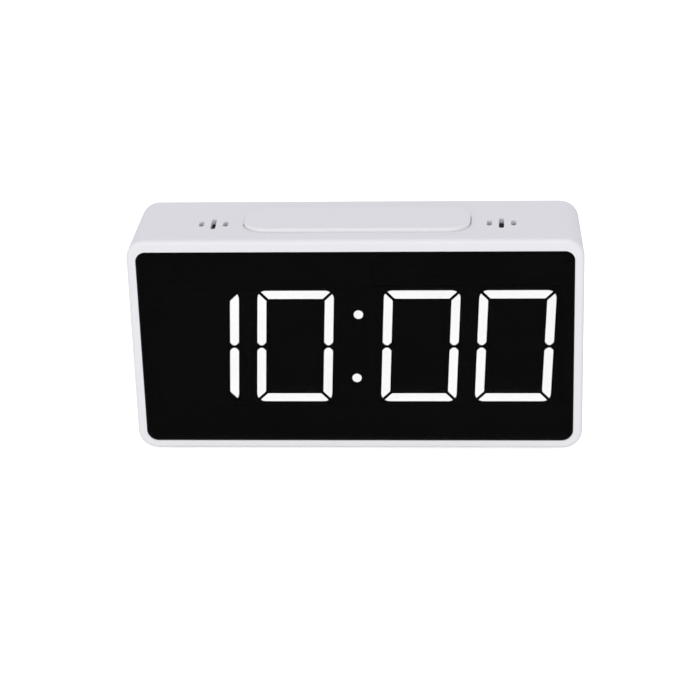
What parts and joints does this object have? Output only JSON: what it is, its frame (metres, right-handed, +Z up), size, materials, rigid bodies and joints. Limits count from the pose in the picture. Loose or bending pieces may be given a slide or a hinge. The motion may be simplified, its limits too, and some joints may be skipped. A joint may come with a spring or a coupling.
{
  "type": "digital led desk clock",
  "caption": "Digital desk clock: white rounded case, smoked front lens over lit seven-bar digits, long snooze key on top, and rear keys, power inlet and battery door.",
  "frame": {"origin": "on the table, under the middle of the case", "axes": "+X to the right seen from the front, +Y from front to back, +Z up"},
  "size_m": [0.1602, 0.0368, 0.0841],
  "materials": {
    "case_white": "fine satin moulding",
    "cover_white": "fine spark texture",
    "key_white": "smooth satin",
    "lens_smoke": "polished smoked acrylic",
    "tape_black": "matt foam tape",
    "reflector_black": "matt moulding",
    "bar_lit": "milky diffuser, lit white",
    "bar_dark": "tinted diffuser, unlit",
    "led_ceramic": "phosphor on white ceramic",
    "board_green": "solder mask",
    "chip_black": "moulded epoxy",
    "socket_ivory": "nylon",
    "ribbon_grey": "flat cable sleeve",
    "stem_black": "smooth",
    "can_metal": "drawn can",
    "screw_steel": "zinc plated",
    "usb_steel": "nickel plated",
    "tongue_black": "moulded",
    "boot_rubber": "soft matt",
    "foot_rubber": "soft matt",
    "cell_wrap": "printed sleeve on a metal can",
    "contact_nickel": "nickel plated spring strip",
    "lead_sleeve": "wire sleeve"
  },
  "bodies": {
    "case": {"aaa_cells": "cell_wrap", "battery_contacts": "contact_nickel", "battery_leads": "lead_sleeve", "buzzer": "tongue_black", "buzzer_leads": "lead_sleeve", "case_screws": "screw_steel", "case_shell": "case_white", "clock_crystal": "can_metal", "colon_dots": "bar_lit", "controller_chip": "chip_black", "display_board": "board_green", "display_board_screws": "screw_steel", "display_driver_chip": "chip_black", "display_reflector": "reflector_black", "display_socket": "socket_ivory", "filter_capacitor": "can_metal", "front_lens": "lens_smoke", "hour_tens_dark_bars": "bar_dark", "hour_tens_lit_bars": "bar_lit", "hour_units_dark_bars": "bar_dark", "hour_units_lit_bars": "bar_lit", "key_switch_bodies": "chip_black", "led_chips": "led_ceramic", "lens_tape": "tape_black", "main_board": "board_green", "main_board_screws": "screw_steel", "main_socket": "socket_ivory", "microphone": "can_metal", "microphone_boot": "boot_rubber", "microphone_leads": "lead_sleeve", "minute_tens_dark_bars": "bar_dark", "minute_tens_lit_bars": "bar_lit", "minute_units_dark_bars": "bar_dark", "minute_units_lit_bars": "bar_lit", "rear_cover": "cover_white", "ribbon_cable": "ribbon_grey", "rubber_feet": "foot_rubber", "snooze_switch_bodies": "chip_black", "usb_shell": "usb_steel", "usb_tongue": "tongue_black"},
    "snooze_button": {"snooze_key": "key_white", "snooze_switch_stems": "stem_black"},
    "door": {"battery_door": "cover_white"},
    "set_button": {"set_key": "key_white", "set_switch_stem": "stem_black"},
    "alarm_button": {"alarm_key": "key_white", "alarm_switch_stem": "stem_black"},
    "up_button": {"up_key": "key_white", "up_switch_stem": "stem_black"},
    "down_button": {"down_key": "key_white", "down_switch_stem": "stem_black"}
  },
  "joints": [
    {"name": "snooze_press", "type": "slide", "parent": "case", "child": "snooze_button", "axis": [0, 0, -1], "range_m": [0, 0.001], "stiffness_N_per_m": 600, "springref_m": -0.001},
    {"name": "battery_door_hinge", "type": "hinge", "parent": "case", "child": "door", "pos_m": [0, 0.0161, 0.0077], "axis": [-1, 0, 0], "range_deg": [0, 90]},
    {"name": "set_press", "type": "slide", "parent": "case", "child": "set_button", "axis": [0, -1, 0], "range_m": [0, 0.0006], "stiffness_N_per_m": 400, "springref_m": -0.001},
    {"name": "alarm_press", "type": "slide", "parent": "case", "child": "alarm_button", "axis": [0, -1, 0], "range_m": [0, 0.0006], "stiffness_N_per_m": 400, "springref_m": -0.001},
    {"name": "up_press", "type": "slide", "parent": "case", "child": "up_button", "axis": [0, -1, 0], "range_m": [0, 0.0006], "stiffness_N_per_m": 400, "springref_m": -0.001},
    {"name": "down_press", "type": "slide", "parent": "case", "child": "down_button", "axis": [0, -1, 0], "range_m": [0, 0.0006], "stiffness_N_per_m": 400, "springref_m": -0.001}
  ]
}
